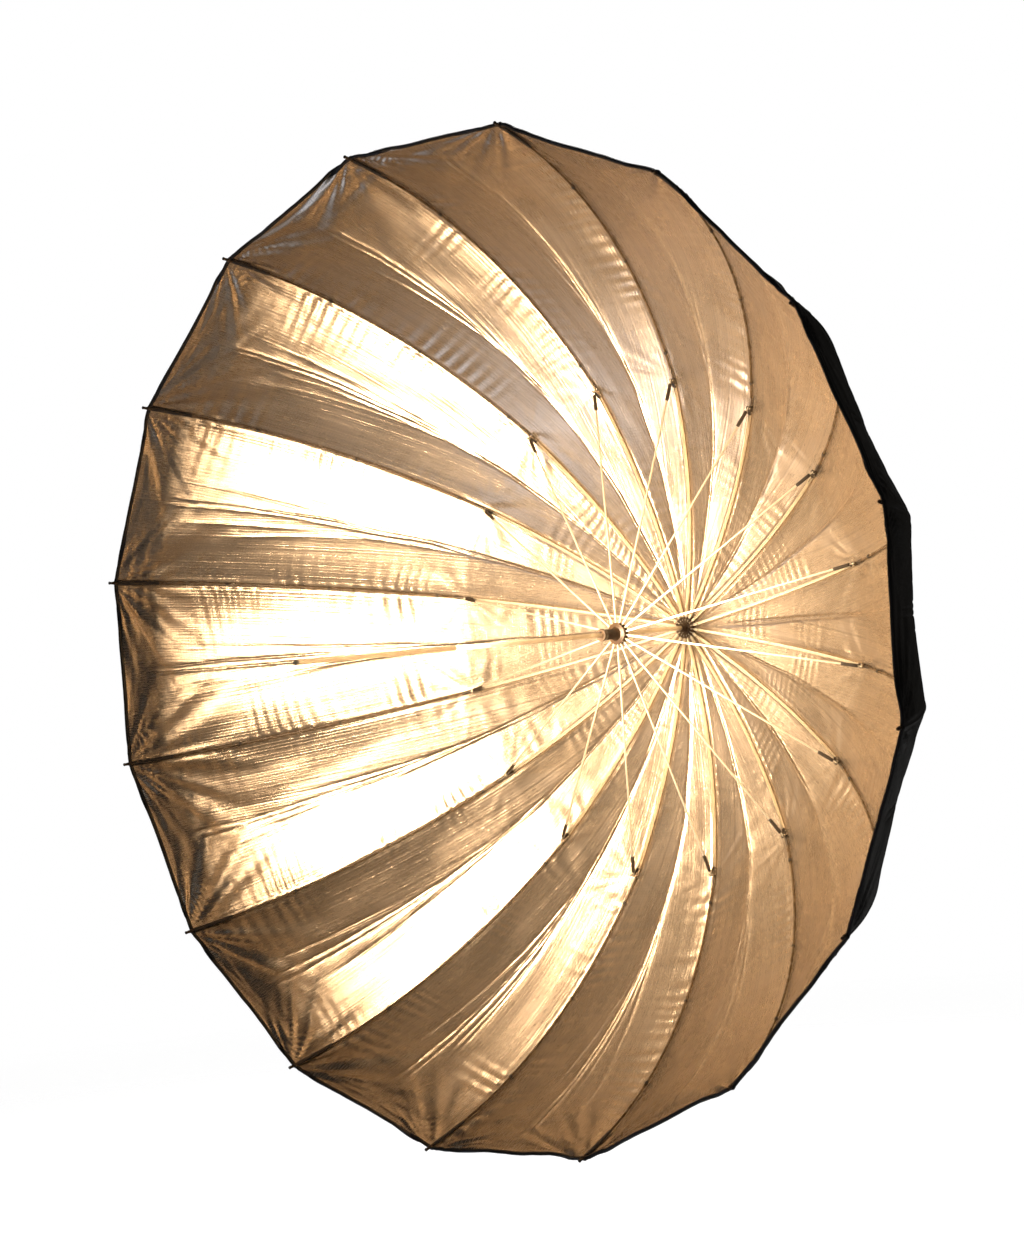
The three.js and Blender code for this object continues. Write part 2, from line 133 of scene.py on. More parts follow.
class Build:
    """Collects closed shells, in a local frame (radius, y, across), for one piece."""

    def __init__(self):
        self.verts, self.faces, self.slots = [], [], []

    def add(self, verts, faces, slot=0):
        base = len(self.verts)
        self.verts.extend(tuple(map(float, v)) for v in verts)
        self.faces.extend(tuple(base + k for k in f) for f in faces)
        self.slots.extend([slot] * len(faces))
        return self

    def sweep(self, path, frames, section, slot=0, scale=None):
        """A closed section carried along a path. frames gives the two section axes at each point."""
        n, m = len(path), len(section)
        scale = np.ones(n) if scale is None else scale
        verts = [
            path[k] + frames[k][0] * (a * scale[k]) + frames[k][1] * (b * scale[k])
            for k in range(n)
            for a, b in section
        ]
        faces = []
        for k in range(n - 1):
            for j in range(m):
                a, b = k * m + j, k * m + (j + 1) % m
                faces.append((a, b, b + m, a + m))
        faces.append(tuple(reversed(range(m))))
        faces.append(tuple(range((n - 1) * m, n * m)))
        return self.add(verts, faces, slot)

    def along(self, points, section, slot=0, scale=None):
        """A closed section carried along points of the rib's plane."""
        return self.sweep(*plane_path(points), section, slot, scale)

    def turned(self, profile, centre, axis, sides):
        """A solid of revolution. profile is (radius, height along axis), from the axis to the axis."""
        axis = np.asarray(axis, float) / np.linalg.norm(axis)
        a = np.cross(axis, Z if abs(axis[2]) < 0.9 else X)
        a /= np.linalg.norm(a)
        b = np.cross(axis, a)
        rings, verts = [], []
        for r, h in profile:
            base = np.asarray(centre, float) + axis * h
            if r < 1e-9:
                rings.append([len(verts)])
                verts.append(base)
                continue
            rings.append(list(range(len(verts), len(verts) + sides)))
            verts += [base + a * x + b * y for x, y in circle(r, sides)]
        faces = []
        pairs = list(zip(rings, rings[1:]))
        if profile[0] == profile[-1]:
            verts = verts[: -sides]
            pairs[-1] = (pairs[-1][0], rings[0])
        for low, high in pairs:
            for k in range(sides):
                j = (k + 1) % sides
                if len(low) == 1:
                    faces.append((low[0], high[j], high[k]))
                elif len(high) == 1:
                    faces.append((low[k], low[j], high[0]))
                else:
                    faces.append((low[k], low[j], high[j], high[k]))
        return self.add(verts, faces)

    def torus(self, centre, axis, radius, thickness, sides, ring):
        profile = [(radius + x, y) for x, y in circle(thickness, ring)]
        profile.append(profile[0])
        return self.turned(profile, centre, axis, sides)

    def make(self, name, materials, rib=None, angle=35):
        """The piece as an object. rib sets its number and the plane of the local frame."""
        verts = np.array(self.verts)
        if rib is not None:
            name += "_" + number(rib)
            verts = verts @ np.stack([radial(rib), Y, tangent(rib)])
        mesh = new_mesh(name, verts, self.faces, materials)
        mesh.polygons.foreach_set("material_index", self.slots)
        mesh.update()
        weld(mesh)
        shade(mesh, angle)
        return link(name, mesh)


def new_mesh(name, verts, faces, materials):
    mesh = bpy.data.meshes.new(name)
    mesh.from_pydata(verts, [], faces)
    for m in materials:
        mesh.materials.append(m)
    return mesh


def link(name, data):
    """A new object in the scene that holds this data."""
    obj = bpy.data.objects.new(name, data)
    bpy.context.scene.collection.objects.link(obj)
    return obj


def shade(mesh, angle):
    """Smooth shading, with edges sharper than angle left sharp."""
    mesh.shade_smooth()
    mesh.set_sharp_from_angle(angle=math.radians(angle))


def carry(piece, body, stands_for=None):
    """The piece rides body. It can stand for a CAD node, which is then hidden."""
    if stands_for:
        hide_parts(stands_for)
    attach(piece, body)


def weld(mesh):
    """Joins vertices that meet and turns the faces outwards."""
    b = bmesh.new()
    b.from_mesh(mesh)
    bmesh.ops.remove_doubles(b, verts=b.verts, dist=1e-7)
    bmesh.ops.recalc_face_normals(b, faces=b.faces)
    b.to_mesh(mesh)
    b.free()


def mm(*pairs, up=0.0):
    """A profile or section written in millimetres, moved up by a length in metres."""
    return [(0.001 * a, up + 0.001 * b) for a, b in pairs]


def mirrored(profile):
    """A profile and, in reverse, its mirror image below the middle."""
    return profile + [(r, -h) for r, h in reversed(profile)]


def rounded(width, height, radius, steps=3):
    """A rounded rectangle, as a section."""
    points = []
    for cx, cy, t0 in ((1, 1, 0), (-1, 1, 90), (-1, -1, 180), (1, -1, 270)):
        for k in range(steps + 1):
            t = math.radians(t0 + 90 * k / steps)
            x = cx * (width / 2 - radius) + radius * math.cos(t)
            y = cy * (height / 2 - radius) + radius * math.sin(t)
            points.append((x, y))
    return points


def circle(radius, sides):
    turns = [2 * math.pi * k / sides for k in range(sides)]
    return [(radius * math.cos(t), radius * math.sin(t)) for t in turns]


ACROSS = Z  # of the local frame


def directions(path):
    slope = np.gradient(path, axis=0)
    return slope / np.linalg.norm(slope, axis=1)[:, None]


def plane_path(points):
    """A path in the rib's plane, and at each point the across and the outward direction."""
    points = np.asarray(points, float)
    path = np.column_stack([points, np.zeros(len(points))])
    return path, [(ACROSS, np.array([-s[1], s[0], 0.0])) for s in directions(path)]


def flat3(p, across=0.0):
    """A point or direction of the rib's plane, with its distance across."""
    return np.array([p[0], p[1], across])


# ---- materials ----


class Nodes:
    """A material's node tree, with short calls for the nodes used here."""

    def __init__(self, name):
        self.material = bpy.data.materials.new(name)
        self.material.use_nodes = True
        self.tree = self.material.node_tree
        self.shader = self.tree.nodes["Principled BSDF"]

    def node(self, kind, **settings):
        made = self.tree.nodes.new(kind)
        for key, value in settings.items():
            if key in made.inputs:
                self.put(made.inputs[key], value)
            else:
                setattr(made, key, value)
        return made

    def put(self, socket, value):
        """A link from another node, or a plain value; a colour may leave its alpha out."""
        if isinstance(value, bpy.types.NodeSocket):
            self.tree.links.new(value, socket)
            return
        if socket.type == "RGBA" and len(value) == 3:
            value = (*value, 1.0)
        socket.default_value = value

    def wired(self, kind, *values, **settings):
        """The first output of a node whose first inputs take these values."""
        made = self.node(kind, **settings)
        for socket, value in zip(made.inputs, values):
            self.put(socket, value)
        return made.outputs[0]

    def math(self, operation, a, b=0.0, c=0.0):
        return self.wired("ShaderNodeMath", a, b, c, operation=operation)

    def times(self, a, b):
        return self.math("MULTIPLY", a, b)

    def plus(self, a, b):
        return self.math("ADD", a, b)

    def noise(self, vector, scale, detail, rough):
        made = self.node("ShaderNodeTexNoise", Scale=scale, Detail=detail, Roughness=rough)
        self.put(made.inputs["Vector"], vector)
        return made.outputs["Fac"]

    def stretch(self, vector, x, y, z=1.0):
        return self.node("ShaderNodeMapping", Vector=vector, Scale=(x, y, z)).outputs[0]

    def ramp(self, value, *stops):
        made = self.tree.nodes.new("ShaderNodeValToRGB")
        self.put(made.inputs[0], value)
        bar = made.color_ramp
        while len(bar.elements) < len(stops):
            bar.elements.new(0.5)
        for element, (place, color) in zip(bar.elements, stops):
            element.position = place
            element.color = (*color, 1.0)
        return made.outputs[0]

    def mix(self, share, a, b):
        made = self.node("ShaderNodeMix", data_type="RGBA")
        for k, value in ((0, share), (6, a), (7, b)):
            self.put(made.inputs[k], value)
        return made.outputs[2]

    def range(self, value, a, b, c, d):
        """value, from the range a to b to the range c to d, and kept within it."""
        return self.wired("ShaderNodeMapRange", value, a, b, c, d)

    def bump(self, height, distance, strength=1.0, normal=None):
        made = self.node("ShaderNodeBump", Strength=strength, Distance=distance, Height=height)
        if normal is not None:
            self.put(made.inputs["Normal"], normal)
        return made.outputs[0]

    def space(self):
        """A point's place in its piece's own frame."""
        return self.node("ShaderNodeTexCoord").outputs["Object"]

    def finish(self, **settings):
        for key, value in settings.items():
            self.put(self.shader.inputs[key.replace("_", " ")], value)
        return self.material


HEM_WIDTH = 0.0070
HEM_FOLD = 0.023  # from the edge to the line where the hem is sewn down
RIPSTOP = 0.0052  # between the thicker threads
STITCH, STITCH_GAP = 0.0017, 0.0005  # half a stitch with its gap, and half the thread's width
SEAM_ROW = 0.0042  # a row of stitches from the rib's middle


def threads(n, along, across, pitch):
    """Height of a plain weave from the cloth's own lengths: two sets of threads, over and under."""
    a = n.math("SINE", n.times(along, 2 * math.pi / pitch))
    b = n.math("SINE", n.times(across, 2 * math.pi / pitch))
    return n.times(n.times(a, b), 0.5)


def ripstop(n, along, across, pitch, width):
    """1 on the thicker threads of a ripstop grid, 0 between them."""

    def line(value):
        saw = n.math("PINGPONG", value, pitch / 2)
        return n.range(saw, 0.0, width, 1.0, 0.0)

    return n.math("MAXIMUM", line(along), line(across))


def cloth(name):
    """A cloth's nodes, with its own lengths along the rib and across from it."""
    n = Nodes(name)
    uv = n.node("ShaderNodeUVMap", uv_map="cloth").outputs[0]
    split = n.node("ShaderNodeSeparateXYZ", Vector=uv)
    return n, uv, split.outputs[0], split.outputs[1]


def lining_material():
    n, uv, along, across = cloth("silver_lining")
    streak = n.noise(n.stretch(uv, 0.9, 280.0), 1.0, 1.0, 0.5)
    fine = n.noise(n.stretch(uv, 60.0, 1700.0), 1.0, 2.0, 0.5)
    cross = n.noise(n.stretch(uv, 1700.0, 60.0), 1.0, 2.0, 0.5)
    cloud = n.noise(n.stretch(uv, 7.0, 11.0), 1.0, 3.0, 0.55)
    grid = ripstop(n, along, across, RIPSTOP, 0.0005)
    weave = threads(n, along, across, 0.0011)
    # painted warm light: the gold in these tones stands in for a warm lamp on silver cloth; their
    # changes with cloud are the cloth's own
    tone = n.ramp(
        cloud, (0.3, (0.63, 0.525, 0.41)), (0.55, (0.67, 0.56, 0.44)), (0.75, (0.63, 0.54, 0.45))
    )
    tone = n.mix(n.range(streak, 0.45, 0.75, 0.0, 0.4), tone, (0.36, 0.30, 0.24))
    tone = n.mix(n.times(grid, 0.35), tone, (0.32, 0.27, 0.21))
    rough = n.plus(n.times(fine, 0.5), n.times(cloud, 0.5))
    rough = n.range(rough, 0.3, 0.7, 0.24, 0.31)
    height = n.math("MULTIPLY_ADD", weave, 0.25, n.times(grid, 0.6))
    height = n.math("MULTIPLY_ADD", fine, 0.8, height)
    height = n.math("MULTIPLY_ADD", cross, 0.8, height)
    first = n.bump(height, 0.00010, 0.9)
    second = n.bump(streak, 0.0008, 0.5, first)
    turn = n.node("ShaderNodeTangent", direction_type="UV_MAP", uv_map="cloth").outputs[0]
    return n.finish(
        Base_Color=tone, Metallic=0.92, Roughness=rough, Anisotropic=0.2, Tangent=turn, Normal=second
    )


def backing_material():
    n, uv, along, across = cloth("black_backing")
    streak = n.noise(n.stretch(uv, 5.0, 160.0), 1.0, 3.0, 0.6)
    cloud = n.noise(n.stretch(uv, 12.0, 12.0), 1.0, 3.0, 0.55)
    grid = ripstop(n, along, across, RIPSTOP, 0.0006)
    weave = threads(n, along, across, 0.0012)
    tone = n.ramp(cloud, (0.3, (0.007, 0.007, 0.0075)), (0.75, (0.015, 0.015, 0.016)))
    tone = n.mix(n.times(grid, 0.5), tone, (0.026, 0.026, 0.028))

    def stitches(run, distance):
        dash = n.math("GREATER_THAN", n.math("PINGPONG", run, STITCH), STITCH_GAP)
        row = n.math("LESS_THAN", n.math("ABSOLUTE", distance), STITCH_GAP)
        return n.times(dash, row)

    # two rows beside each rib, and one along the hem
    side = n.math("SUBTRACT", n.math("ABSOLUTE", across), SEAM_ROW)
    hem = n.math("SUBTRACT", along, CLOTH_LENGTH - HEM_WIDTH - 0.0015)
    sewn = n.math("MAXIMUM", stitches(along, side), stitches(across, hem))
    tone = n.mix(sewn, tone, (0.055, 0.053, 0.052))
    height = n.plus(n.times(weave, 0.5), n.times(grid, 0.6))
    height = n.plus(height, n.times(sewn, 2.5))
    first = n.bump(height, 0.00016, 0.9)
    second = n.bump(streak, 0.0012, 0.5, first)
    rough = n.range(cloud, 0.3, 0.7, 0.42, 0.56)
    return n.finish(
        Base_Color=tone, Roughness=rough, Sheen_Weight=0.04, Sheen_Roughness=0.4, Normal=second
    )


def metal_material(name, dark, light, rough, brush, wear=0.3, metallic=1.0):
    """Plated or drawn metal: fine brushing, cloudy roughness, dulled patches."""
    n = Nodes(name)
    place = n.space()
    lines = n.noise(n.stretch(place, *brush), 1.0, 3.0, 0.6)
    cloud = n.noise(place, 60.0, 4.0, 0.6)
    spots = n.noise(place, 420.0, 3.0, 0.6)
    tone = n.ramp(cloud, (0.3, dark), (0.7, light))
    tone = n.mix(n.range(spots, 0.62, 0.72, 0.0, wear), tone, tuple(0.45 * c for c in dark))
    both = n.plus(n.times(lines, 0.5), n.times(spots, 0.5))
    finish = n.range(both, 0.3, 0.7, rough, rough + 0.16)
    return n.finish(
        Base_Color=tone, Metallic=metallic, Roughness=finish, Normal=n.bump(lines, 0.00006, 0.6)
    )


def plastic_material(name, dark, light, rough, grain, streaky=None):
    """Moulded or pultruded plastic with grain, rubbed lighter where the colour noise is high."""
    n = Nodes(name)
    place = n.space()
    fine = n.noise(place if streaky is None else n.stretch(place, *streaky), grain, 3.0, 0.6)
    cloud = n.noise(place, 45.0, 4.0, 0.6)
    tone = n.ramp(cloud, (0.35, dark), (0.75, light))
    tone = n.mix(n.range(fine, 0.6, 0.8, 0.0, 0.35), tone, tuple(2.2 * c for c in light))
    return n.finish(
        Base_Color=tone,
        Roughness=n.range(cloud, 0.3, 0.7, rough, rough + 0.15),
        Normal=n.bump(fine, 0.00008, 0.7),
    )


def thread_material():
    n = Nodes("black_thread")
    place = n.space()
    twist = n.node("ShaderNodeTexWave", Scale=900.0, Distortion=1.5, Vector=place)
    tone = n.ramp(twist.outputs["Fac"], (0.2, (0.012, 0.010, 0.008)), (0.9, (0.05, 0.043, 0.036)))
    return n.finish(
        Base_Color=tone, Roughness=0.8, Sheen_Weight=0.3, Normal=n.bump(twist.outputs["Fac"], 0.0002)
    )


# ---- the canopy ----

CLOTH_OFFSET = 0.0036  # rib's centre line to the lining
CLOTH_THICKNESS = 0.0006
HEM_THICKNESS = 0.0015
ROWS_CENTRE, ROWS_INNER, ROWS_OUTER = 46, 92, 160
# shares of the hem's width
HEM_STEPS = np.array([0.0, 0.13, 0.17, 0.28, 0.44, 0.58, 0.72, 0.88, 0.98, 1.0])
ROWS_HEM = len(HEM_STEPS) - 1
BEAD = 0.0032  # half the thickness of the edge, where the hem is rolled round a cord
HALF_COLUMNS = 26
SAG = 0.50  # share of the draw that equal tension both ways would give
RIB_CURVE = 0.86  # the ribs' radius of curvature, taken over their length
PUCKER = 0.00085
ELBOW_SLANT = 0.0164  # the cloth is divided along the rod's hinge line, which runs straight across


def canopy_meridian():
    """The lining's line along a rib, from the crown's hole to the rim: points and running length."""
    inner = on_arc(CHANNEL_ARC, np.linspace(0.12, 1, 60)[:-1], CLOTH_OFFSET)
    outer = on_arc(ROD_ARC, np.linspace(0, 1, 120), CLOTH_OFFSET)
    crown = HUB[1] + 0.0075
    start = np.array([[0.0046, crown], [0.012, crown], [0.0195, crown]])
    points = np.concatenate([start, inner, outer])
    for _ in range(3):  # eases the change of direction at the crown
        points[3:5] = (points[2:4] + points[3:5] + points[4:6]) / 3
    joint = len(start) + len(inner)
    for reach in (3, 2, 1, 1):  # and a little at the elbow
        part = slice(joint - reach, joint + reach + 1)
        before = slice(joint - reach - 1, joint + reach)
        after = slice(joint - reach + 1, joint + reach + 2)
        points[part] = (points[before] + 2 * points[part] + points[after]) / 4
    length = np.concatenate([[0], np.cumsum(np.hypot(*np.diff(points, axis=0).T))])
    elbow = length[joint]
    return points, length, elbow


MERIDIAN, MERIDIAN_LENGTH, ELBOW_LENGTH = canopy_meridian()
CLOTH_LENGTH = float(MERIDIAN_LENGTH[-1])


def lattice_noise(x, y, seed, size=64):
    """Smooth noise from -1 to 1 on a seeded lattice."""
    table = np.random.RandomState(seed).uniform(-1, 1, (size, size))
    x0, y0 = np.floor(x).astype(int), np.floor(y).astype(int)
    fx, fy = x - x0, y - y0
    fx, fy = fx * fx * (3 - 2 * fx), fy * fy * (3 - 2 * fy)
    x0, y0 = x0 % size, y0 % size
    x1, y1 = (x0 + 1) % size, (y0 + 1) % size
    low = table[x0, y0] * (1 - fx) + table[x1, y0] * fx
    high = table[x0, y1] * (1 - fx) + table[x1, y1] * fx
    return low * (1 - fy) + high * fy


def layered(x, y, seed, octaves=3):
    total, weight = 0.0, 0.0
    for k in range(octaves):
        share = 0.55 ** k
        total = total + share * lattice_noise(x * 2 ** k + 7.3 * k, y * 2 ** k + 3.1 * k, seed + k)
        weight += share
    return total / weight


def smooth(value, low, high):
    t = np.clip((value - low) / (high - low), 0, 1)
    return t * t * (3 - 2 * t)


def drift_along(length, scale, offset, seed):
    """Noise that changes only with the length along the cloth."""
    return lattice_noise(length / scale, 0 * length + offset, seed)


def fold_lines(g, length):
    """Fold lines of gore g: the share of the way across at every length, and the strength."""
    mood = np.random.RandomState(700 + g).uniform(-1, 1, 24)
    to_hem = CLOTH_LENGTH - length
    lines = []
    # a folded pair down the middle, left by storing
    for k in (0, 1):
        sway = 0.0022 * drift_along(length, 0.09, k, 710 + g)
        apart = (0.0012 + 0.0060 * smooth(length, 0.45, CLOTH_LENGTH)) * (1 if k else -1)
        width = np.maximum(chord(length), 0.01)
        starts = 0.020 + 0.05 * abs(mood[k])
        strength = smooth(to_hem, starts, starts + 0.05) * smooth(length, 0.05, 0.14)
        patchy = 0.9 + 0.6 * drift_along(length, 0.13, 4.4 + k, 730 + g)
        strength = strength * np.clip(patchy, 0.3, 1.4)
        lines.append((0.5 + (sway + apart) / width, 0.9 * strength))
    # others that leave it towards the two tips
    for k in range(3):
        side = 1 if k % 2 else -1
        apart = side * (0.055 + 0.035 * k + 0.05 * abs(mood[4 + k]))
        meet = 0.22 + 0.10 * k + 0.16 * abs(mood[8 + k])
        open_to = 0.93 + 0.10 * mood[12 + k]
        share = 0.5 + apart * np.clip((length - meet) / (open_to - meet), 0, 1.15)
        ends = 0.05 + 0.10 * abs(mood[16 + k])
        strength = smooth(length, meet, meet + 0.10) * smooth(to_hem, ends, ends + 0.10)
        patchy = 0.8 + 0.8 * drift_along(length, 0.12, 2.2 + k, 740 + g)
        strength = strength * np.clip(patchy, 0.1, 1.3)
        lines.append((share, 0.6 * strength))
    return lines


def gore_height(g, length, share, width):
    """How far gore g stands out of the flat between its ribs; negative is towards the shaft."""
    seed = 100 + 40 * g
    mood = np.random.RandomState(seed).uniform(-1, 1, 12)
    reach = np.minimum(share, 1 - share) * width  # distance to the nearer rib
    to_hem = CLOTH_LENGTH - length
    ramp = smooth(reach, 0.0015, 0.010)
    # taut cloth between curved ribs draws in towards the shaft
    sag = (SAG + 0.10 * mood[0]) * width ** 2 / (8 * RIB_CURVE)
    bow = 4 * share * (1 - share) * (1 + 0.35 * mood[1] * (share - 0.5))
    height = -sag * bow * (0.25 + 0.75 * smooth(to_hem, 0.0, 0.10))
    # slack areas
    height += 0.0016 * ramp * layered(length / 0.14, share * width / 0.10, seed + 1, 2)
    # folds: narrow ridges on wider, softer ones
    for share_at, strength in fold_lines(g, length):
        distance = (share - share_at) * width
        height -= 0.0014 * strength * np.exp(-((distance / 0.0022) ** 2))
        height -= 0.0008 * strength * np.exp(-np.abs(distance) / 0.016)
    # long soft waves along the cloth
    height += 0.0009 * ramp * layered(length / 0.50, share * width / 0.045, seed + 9, 2)
    # puckers where the cloth is sewn to each rib
    for s in (0, 1):
        distance = (1 - share if s else share) * width
        here = seed + 15 + s
        drift = 0.9 * drift_along(length, 0.085, 3.7, here)
        slant = 0.25 * drift_along(length, 0.16, 9.1, here)
        pitch = 0.025 + 0.004 * mood[9 + s] - 0.009 * smooth(-length, -0.50, -0.30)
        wave = np.sin(2 * math.pi * ((length + slant * distance) / pitch + drift))
        second = np.sin(2 * math.pi * ((length - 0.15 * distance) / (0.61 * pitch) + 1.7 * drift))
        wave = np.where(wave > 0, wave ** 2, -np.abs(wave) ** 0.8) + 0.14 * second
        patch = 0.45 + 0.95 * drift_along(length, 0.07, 1.9, here + 1)
        patch = np.clip(patch, 0.08, 1.4) * (0.62 + 0.38 * smooth(length, 0.38, 0.52))
        far = 0.028 + 0.014 * drift_along(length, 0.05, 5.5, here + 2)
        far = far * (0.95 + 0.05 * smooth(length, 0.25, 0.55) + 0.9 * smooth(length, 0.70, 1.0))
        start = smooth(distance, 0.0025, 0.014)
        near = start * np.exp(-((np.maximum(distance - 0.012, 0) / (1.5 * far)) ** 1.5))
        height += PUCKER * wave * patch * near * smooth(length, 0.05, 0.12)
        # the two gores' edges, turned in and sewn, make a narrow bead beside the rib
        bead = 0.0002 + 0.0007 * smooth(length, 0.40, 0.56)
        height -= bead * np.exp(-(((distance - 0.0052) / 0.0019) ** 2)) * smooth(length, 0.03, 0.06)
        # crumples that spread from the tip and from the elbow
        for place, scale, amount, rays in (
            (CLOTH_LENGTH + 0.004, 0.110, 0.0080, 6.0),
            (CLOTH_LENGTH + 0.004, 0.075, 0.0042, 11.0),
            (ELBOW_LENGTH, 0.050, 0.0022, 5.0),
        ):
            away = np.hypot(length - place, distance) + 1e-6
            turn = np.arctan2(distance, length - place)
            star = layered(turn * rays, away / 0.15, here + 3 + int(place * 100 + rays), 2)
            star = np.sign(star) * np.abs(star) ** 0.75
            grow = smooth(away, 0.012, 0.060)
            height += amount * star * np.exp(-away / scale) * grow * start
    # gathers round the hub
    star = layered(share * 5, length / 0.08, seed + 31, 2)
    height += 0.0008 * star * ramp * smooth(length, 0.02, 0.06) * np.exp(-length / 0.12)
    # the hem is sewn over, so it is straight, with a slight ripple and soft rolls beside it
    roll = layered(to_hem / 0.020, share * width / 0.13, seed + 35, 3)
    height += 0.0030 * roll * ramp * np.exp(-to_hem / 0.045) * smooth(to_hem, 0.0, 0.03)
    height -= 0.0005 * ramp * np.exp(-(((to_hem - HEM_FOLD) / 0.0022) ** 2))
    ripple = drift_along(share * width, 0.018, 0, seed + 33)
    height += 0.0004 * ripple * ramp * np.exp(-to_hem / 0.012)
    return height


def chord(length):
    """The distance between two neighbouring ribs at a length along the cloth."""
    return 2 * np.interp(length, MERIDIAN_LENGTH, MERIDIAN[:, 0]) * math.sin(PITCH / 2)


def gore_columns(g, rows):
    """Where the columns of gore g stand at each row: close together at the folds and at the ribs."""
    middle = 400
    fine = np.linspace(0, 1, 2 * middle + 1)[None, :]
    width = chord(rows)[:, None]
    near_rib = np.minimum(fine, 1 - fine) * width
    crowd = 1.0 + 3.6 * np.exp(-near_rib / 0.010)
    for share_at, strength in fold_lines(g, rows):
        away = (fine - share_at[:, None]) * width
        crowd = crowd + (0.8 + 6.5 * strength[:, None]) * np.exp(-((away / 0.0042) ** 2))
    total = np.concatenate([0 * width, np.cumsum((crowd[:, 1:] + crowd[:, :-1]) / 2, axis=1)], axis=1)
    columns = np.empty((len(rows), 2 * HALF_COLUMNS + 1))
    t = np.linspace(0, 1, HALF_COLUMNS + 1)
    for r in range(len(rows)):
        run = total[r]
        first = np.interp(t * run[middle], run[: middle + 1], fine[0, : middle + 1])
        second = np.interp(run[middle] + t * (run[-1] - run[middle]), run[middle:], fine[0, middle:])
        columns[r] = np.concatenate([first, second[1:]])
    return columns


def gore_grid(g):
    """Gore g as grids: points, outward normals, lengths, shares of the way across, widths."""
    sewn = CLOTH_LENGTH - HEM_WIDTH
    t_inner = np.linspace(0, 1, ROWS_INNER + 1)
    t_outer = np.linspace(0, 1, ROWS_OUTER + 1)[1:]
    t_outer = t_outer + 0.08 * (t_outer - t_outer ** 8)  # closer rows beside the hem
    t_hem = HEM_STEPS[1:]
    zero, one = 0 * t_inner, 1 + 0 * t_outer
    # each row is a fixed mixture of the crown, the hinge line, the hem's seam and the edge
    along = np.concatenate([t_inner, one, one[:ROWS_HEM]])
    beyond = np.concatenate([zero, t_outer, one[:ROWS_HEM]])
    past = np.concatenate([zero, 0 * t_outer, t_hem])
    middle_cut = ELBOW_LENGTH + ELBOW_SLANT
    rows = along * middle_cut + beyond * (sewn - middle_cut) + past * HEM_WIDTH
    share = gore_columns(g, rows)
    cut = ELBOW_LENGTH + ELBOW_SLANT * (1 - np.abs(2 * share - 1))
    length = along[:, None] * cut + beyond[:, None] * (sewn - cut) + past[:, None] * HEM_WIDTH
    radius = np.interp(length, MERIDIAN_LENGTH, MERIDIAN[:, 0])
    y = np.interp(length, MERIDIAN_LENGTH, MERIDIAN[:, 1])
    a, b = radial(g), radial((g + 1) % RIBS)
    direction = a * (1 - share)[..., None] + b * share[..., None]
    flat = radius[..., None] * direction + y[..., None] * Y
    width = 2 * radius * math.sin(PITCH / 2)
    rise = gore_height(g, length, share, width)
    facet = grid_normals(flat)
    points = flat + facet * rise[..., None]
    return points, grid_normals(points), length, share, width


def grid_normals(points):
    down = np.gradient(points, axis=0)
    over = np.gradient(points, axis=1)
    normal = np.cross(down, over)
    normal /= np.maximum(np.linalg.norm(normal, axis=-1, keepdims=True), 1e-12)
    middle = normal[normal.shape[0] // 2, normal.shape[1] // 2]
    outward = points[points.shape[0] // 2, points.shape[1] // 2] - Y * (HUB[1] - 0.5)
    return normal if middle @ outward > 0 else -normal


